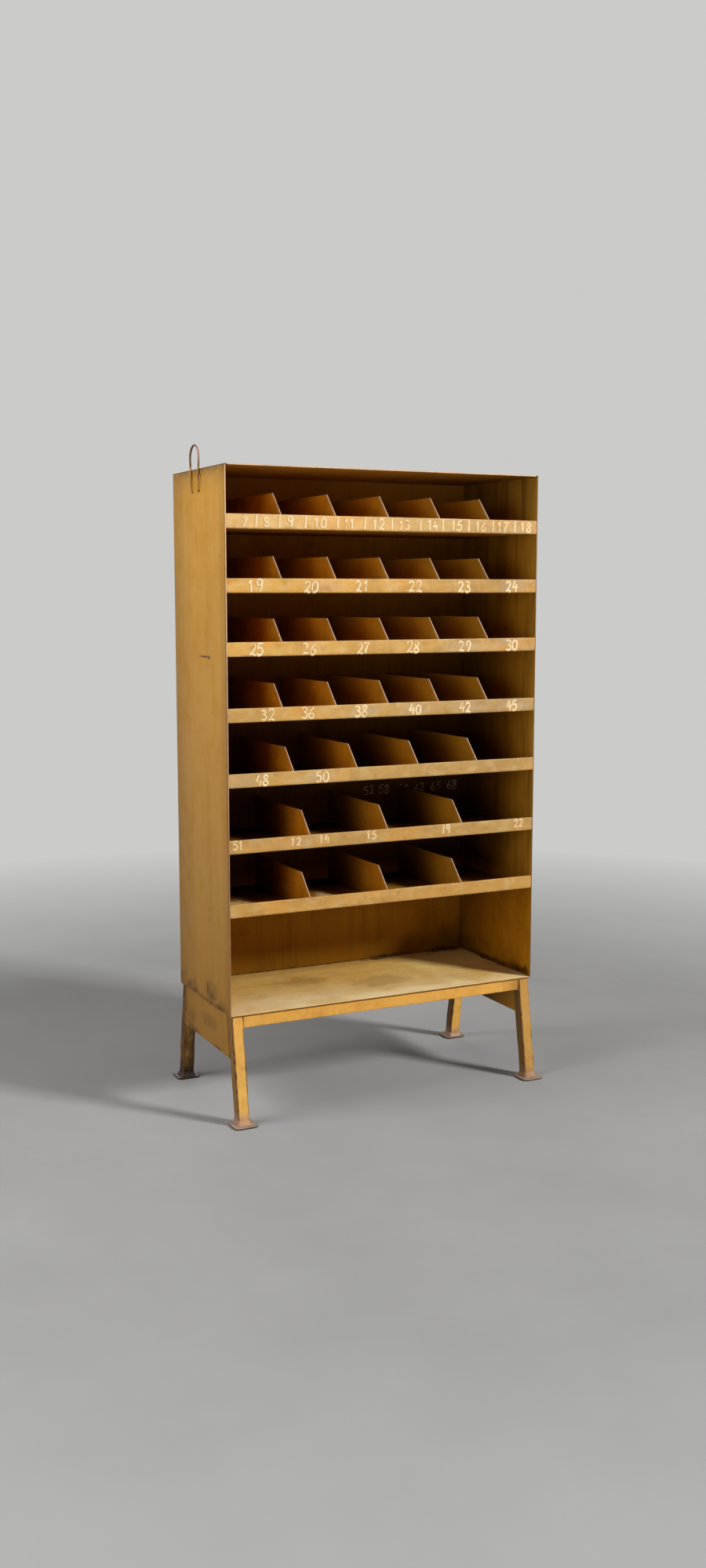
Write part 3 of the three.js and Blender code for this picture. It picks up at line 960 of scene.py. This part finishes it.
def foot_welds(end, hand):
    """The flare of weld between the foot of a leg and its plate, drawn in as it climbs the tube."""
    low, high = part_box(f"leg_{end}_{hand}")
    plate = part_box(f"foot_{end}_{hand}")[1].z
    size = high.x - low.x
    half = size / 2
    near = low.y if end == "front" else high.y - size
    lean = (high.y - low.y - size) / (high.z - low.z) * -ENDS[end]
    middle = Vector(((low.x + high.x) / 2, near + half, plate - FLARE_SUNK))
    bm = bmesh.new()
    face = disc(bm, FLARE_SIDES, 1)
    reach = half + FLARE[0][1] * MM
    for vertex in bm.verts:
        spread = (abs(vertex.co.x) ** FLARE_POWER + abs(vertex.co.y) ** FLARE_POWER) ** (1 / FLARE_POWER)
        vertex.co = middle + vertex.co / spread * reach
    level = -FLARE_SUNK
    for rise, past in FLARE:
        step = rise * MM - level
        wanted = half + past * MM
        face = grown(bm, face, Vector((0, lean * step, step)), wanted / reach)
        level = rise * MM
        reach = wanted
    for vertex in bm.verts:
        if vertex.co.z > plate - FLARE_SUNK / 2:
            outward = Vector((vertex.co.x - middle.x, vertex.co.y - middle.y, 0)).normalized()
            vertex.co += outward * FLARE_WAVE * ripple(vertex.co, FLARE_WAVE_LENGTH, FLARE_SEED)
    finish_weld(f"foot_weld_{end}_{hand}", bm, stand_enamel)


def furthest(node, z, out):
    """The vertex of a CAD node that reaches furthest to the front or rear at one level."""
    level = [vertex.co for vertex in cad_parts[node].data.vertices if abs(vertex.co.z - z) < MM]
    return max(level, key=lambda point: point.y * out)


def stand_welds(hand):
    """Runs of weld up the seams between an apron and its legs, and between the rails and the legs."""
    side = HANDS[hand]
    low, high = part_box(f"{hand}_apron")
    face = side * max(abs(low.x), abs(high.x))
    runs = []
    for end, out in ENDS.items():
        foot_of = furthest(f"{hand}_apron", low.z, out).y
        top_of = furthest(f"{hand}_apron", high.z, out).y
        runs.append(((face, foot_of, low.z), (face, top_of, high.z), SEAM_BEAD))
        rail_low, rail_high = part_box(f"{end}_rail")
        seam = rail_high.x * side
        wall = rail_high.y if out > 0 else rail_low.y
        runs.append(((seam, wall, rail_low.z + TACK_BEAD), (seam, wall, rail_high.z - TACK_BEAD), RAIL_BEAD))
    weld_piece(f"stand_weld_{hand}", runs, grimy_edge)


def side_welds(hand):
    """Runs of weld along the foot of a side panel, up its rear edge and at the ends of the lips."""
    side = HANDS[hand]
    low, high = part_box(f"{hand}_side_panel")
    outer = side * max(abs(low.x), abs(high.x))
    inner = side * min(abs(low.x), abs(high.x))
    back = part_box("back_panel")[1].y
    runs = []
    start = low.y + SEAM_BEAD
    while start < high.y - TACK_LENGTH:
        end = min(high.y - SEAM_BEAD, start + dice.uniform(*SEAM_RUN) * TACK_LENGTH)
        runs.append(((outer, start, low.z), (outer, end, low.z), SEAM_BEAD * dice.uniform(*SEAM_SWELL)))
        start = end + dice.uniform(*SEAM_GAP) * TACK_LENGTH
    runs.append(((inner, back, low.z), (inner, back, high.z), SEAM_BEAD))
    runs.append(((inner, low.y + RIM, high.z), (inner, back, high.z), TACK_BEAD))
    weld_piece(f"seam_weld_{hand}", runs, outside_enamel)
    ends = []
    for number in ROWS:
        lip_low, lip_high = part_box(f"shelf_{number}")
        front = lip_low.y + TACK_BEAD
        ends.append(((inner, front, lip_low.z + RIM), (inner, front, lip_high.z - TACK_BEAD), TACK_BEAD))
    weld_piece(f"lip_welds_{hand}", ends, lip_enamel)


def back_welds():
    """Runs of weld along the top and the foot of the back panel."""
    low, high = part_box("back_panel")
    runs = [((low.x, high.y, z), (high.x, high.y, z), SEAM_BEAD) for z in (low.z, high.z)]
    weld_piece("back_weld", runs, outside_enamel)


def back_plugs():
    """Plug welds through the back panel into the rear edge of every shelf: low uneven buttons."""
    bm = bmesh.new()
    low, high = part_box("back_panel")
    turned = Matrix.Rotation(math.radians(-90), 4, "X")
    for number in ROWS:
        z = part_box(f"shelf_{number}")[0].z + PLUG_RISE
        for place in range(PLUGS):
            x = low.x + (high.x - low.x) * (place + 0.5) / PLUGS + dice.uniform(-PLUG_ASIDE, PLUG_ASIDE) * MM
            centre = Vector((x, high.y - PLUG_SUNK, z + dice.uniform(-PLUG_UP, PLUG_UP) * MM))
            width = PLUG_WIDTH * dice.uniform(*PLUG_SWELL) / 2
            face = disc(bm, PLUG_SIDES, width, Matrix.Translation(centre) @ turned)
            for out, swell in PLUG_STEPS:
                face = grown(bm, face, Vector((0, out * MM, 0)), swell)
    finish_weld("back_plugs", bm, rear_enamel)


def loop_welds():
    """Runs of weld down both sides of the two straights of the loop."""
    low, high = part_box("lifting_loop")
    bar = (high.x - low.x) / 2
    side_low, side_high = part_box("left_side_panel")
    bottom = low.z + LOOP_WELD_FOOT
    top = side_high.z - LOOP_WELD_TOP
    runs = []
    for out in (-1, 1):
        for edge in (-1, 1):
            foot_of = (low.y + high.y) / 2 + out * LOOP_FOOTING / 2 + edge * bar
            top_of = foot_of + out * LOOP_LEAN
            runs.append(((side_low.x, foot_of, bottom), (side_low.x, top_of, top), LOOP_BEAD))
    weld_piece("loop_weld", runs, outside_enamel)


def divider_tacks(number):
    """Short tacks that hold the dividers of one row to their shelf, on both faces."""
    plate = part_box(f"divider_{number}_1")[0].z
    runs = []
    for node in named(f"divider_{number}_"):
        low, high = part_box(node)
        for x in (low.x, high.x):
            for share in TACK_PLACES:
                y = low.y + share * (high.y - low.y)
                runs.append(((x, y - TACK_LENGTH / 2, plate), (x, y + TACK_LENGTH / 2, plate), TACK_BEAD))
    # The tacks take the dividers' painted bounce light
    weld_piece(f"divider_tacks_{number}", runs, painted_bounce_enamel)


# Numbers
def stroke_mesh(strokes, width):
    """A bmesh of strokes that run through points, thicker and thinner along their way."""
    curve = bpy.data.curves.new("strokes", "CURVE")
    curve.dimensions = "3D"
    curve.resolution_u = STROKE_STEPS
    curve.bevel_depth = width
    curve.bevel_resolution = STROKE_ROUND
    curve.use_fill_caps = True
    for points in strokes:
        spline = curve.splines.new("BEZIER")
        spline.bezier_points.add(len(points) - 1)
        for knot, point in zip(spline.bezier_points, points):
            knot.co = point
            knot.handle_left_type = "AUTO"
            knot.handle_right_type = "AUTO"
            knot.radius = dice.uniform(*STROKE_PRESS)
    holder = bpy.data.objects.new("strokes", curve)
    mesh = bpy.data.meshes.new_from_object(holder)
    bpy.data.objects.remove(holder)
    bpy.data.curves.remove(curve)
    bm = bmesh.new()
    bm.from_mesh(mesh)
    bpy.data.meshes.remove(mesh)
    return bm


def number_strokes(places, height, y, rest):
    """The strokes of numbers written by hand on a wall that faces the front."""
    strokes = []
    for value, x in places.items():
        digits = str(value)
        start = x * MM - DIGIT_PITCH * height * len(digits) / 2
        for place, digit in enumerate(digits):
            lean = Matrix.Rotation(math.radians(dice.uniform(*DIGIT_LEAN)), 3, "Y")
            grow = dice.uniform(*DIGIT_GROW) * height
            z = rest + dice.uniform(-DIGIT_UP, DIGIT_UP) * MM
            corner = Vector((start + place * DIGIT_PITCH * height, y, z))
            for points in DIGITS[digit]:
                strokes.append([corner + lean @ Vector((across, 0, up)) * grow for across, up in points])
    return strokes


def flat_strokes(name, strokes, width, wall, flattened, bow, paint):
    """A piece of strokes pressed flat on a wall that faces the front, and bowed as the wall is."""
    bm = stroke_mesh(strokes, width)
    for vertex in bm.verts:
        vertex.co.y = wall + (vertex.co.y - wall) * flattened
        vertex.co += bow(vertex.co)
    mark_rub(bm, lambda vertex: 0)
    finish_piece(name, bm, [paint], "ochre_paint")


def lip_numbers(number):
    """The numbers brushed by hand on one lip, over the dull traces of older ones."""
    low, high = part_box(f"shelf_{number}")
    height, lift, places = NUMBERS[number]
    height *= MM
    rest = (low.z + high.z - height) / 2 + lift * MM
    strokes = number_strokes(places, height, low.y, rest)
    if number == 1:
        for x in TICK_PLACES:
            foot_of = Vector((x * MM, low.y, low.z + TICK_FOOT))
            top_of = Vector((x * MM + dice.uniform(*TICK_LEAN) * MM, low.y, high.z - TICK_FOOT / 2))
            strokes.append([foot_of, top_of])
    older = [[point + OLDER_SHIFT for point in points] for points in strokes]
    layers = (
        ("older", older, STROKE * OLDER_WIDTH, OLDER_FLATTENED, older_paint),
        ("brushed", strokes, STROKE, STROKE_FLATTENED, numeral_paint),
    )
    for layer, lines, width, flattened, paint in layers:
        flat_strokes(
            f"{layer}_numbers_{number}", lines, width, low.y, flattened,
            lambda point: lip_bow(number, point, low, high), paint)


def chalk_numbers():
    """Faint numbers chalked on the inside of the back panel, above the sixth shelf."""
    low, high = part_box("back_panel")
    strokes = number_strokes(CHALKED, CHALK_HEIGHT, low.y, CHALK_LEVEL)
    flat_strokes(
        "chalked_numbers", strokes, CHALK_STROKE, low.y, CHALK_FLATTENED,
        lambda point: panel_bow("back_panel", "y", point, low, high), chalk)


# Build
for hand, side in HANDS.items():
    sheet_panel(f"{hand}_side_panel", "x", side, [outside_enamel, inside_enamel])
sheet_panel("top_panel", "z", 1, [top_enamel, inside_enamel])
sheet_panel("back_panel", "y", 1, [rear_enamel, inside_enamel], inside_enamel)
sheet_panel("floor_panel", "z", 1, [floor_enamel, stand_enamel], grimy_edge, "worn_floor_paint")
for number in ROWS:
    shelf(number)
    divider_tacks(number)
for node in named("divider_"):
    # Each divider's shaded face in the painted bounce light, its lit face in the plain ochre
    cut_plate(node, painted_bounce_enamel, lit_enamel, edge_enamel)
# The aprons' inner faces in the dividers' ochre: painted bounce light in their shade
cut_plate("left_apron", outside_enamel, painted_bounce_enamel, grimy_edge)
cut_plate("right_apron", painted_bounce_enamel, outside_enamel, grimy_edge)
for end in ENDS:
    rail(f"{end}_rail")
    for hand in HANDS:
        leg(f"leg_{end}_{hand}")
        foot(f"foot_{end}_{hand}")
        foot_welds(end, hand)
for hand in HANDS:
    stand_welds(hand)
    side_welds(hand)
back_welds()
lifting_loop()
loop_welds()
for number in NUMBERS:
    lip_numbers(number)
chalk_numbers()
back_plugs()


# Stage
def studio_floor():
    """A plain grey floor that pales into the backdrop away from the rack."""
    material, tree, place = new_material("pale_studio_floor")
    distance = add(tree, "VectorMath", {0: place}, output=1, operation="LENGTH")
    pale = add(tree, "MapRange", {"Value": distance, "From Min": FLOOR_GREY_TO, "From Max": FLOOR_PALE_FROM})
    colour = coat(linear(FLOOR_GREY), 0.3, FLOOR_CLOUD, patches(place, 500, 0.3, 0.7))
    matte = add(tree, "BsdfDiffuse", {"Color": colour})
    glow = add(tree, "Emission", {"Color": linear(BACKDROP)})
    add(tree, "OutputMaterial", {"Surface": add(tree, "MixShader", {0: pale, 1: matte, 2: glow})})
    bm = bmesh.new()
    disc(bm, FLOOR_SIDES, FLOOR_RADIUS)
    floor = new_object("studio_floor", mesh_of("studio_floor", bm, [material]))


def softbox(name, place, target, size, watts):
    """A square lamp that faces a point."""
    lamp = bpy.data.lights.new(name, "AREA")
    lamp.shape = "SQUARE"
    lamp.size = size
    lamp.energy = watts
    holder = new_object(name, lamp)
    holder.location = place
    holder.rotation_euler = (target - place).to_track_quat("-Z", "Y").to_euler()


def studio_light():
    """A large soft lamp high at the front right, weaker ones at the left and behind, a dim even room."""
    for name, settings in LAMPS.items():
        softbox(name, *settings)
    world = bpy.data.worlds.new("studio")
    world.use_nodes = True
    tree = world.node_tree
    tree.nodes.clear()
    path = add(tree, "LightPath").node.outputs
    seen = add(tree, "Math", {0: path["Is Camera Ray"], 1: path["Is Glossy Ray"]}, operation="MAXIMUM")
    seen = add(tree, "Math", {0: seen, 1: path["Is Transmission Ray"]}, operation="MAXIMUM")
    room = add(tree, "Background", {"Color": linear("#ffffff"), "Strength": AMBIENT})
    backdrop = add(tree, "Background", {"Color": linear(BACKDROP), "Strength": 1})
    add(tree, "OutputWorld", {"Surface": add(tree, "MixShader", {0: seen, 1: room, 2: backdrop})})
    bpy.context.scene.world = world


def camera():
    """The photograph's own viewpoint."""
    lens = bpy.data.cameras.new("camera")
    lens.sensor_width = SENSOR
    lens.lens = FOCAL_PIXELS / max(PHOTO_WIDTH, PHOTO_HEIGHT) * SENSOR
    viewer = new_object("camera", lens)
    viewer.location = CAMERA_PLACE
    viewer.rotation_euler = (math.radians(90 - CAMERA_PITCH), 0, math.radians(-CAMERA_YAW))
    bpy.context.scene.camera = viewer


studio_floor()
studio_light()
camera()
bpy.context.scene.view_settings.view_transform = "Standard"
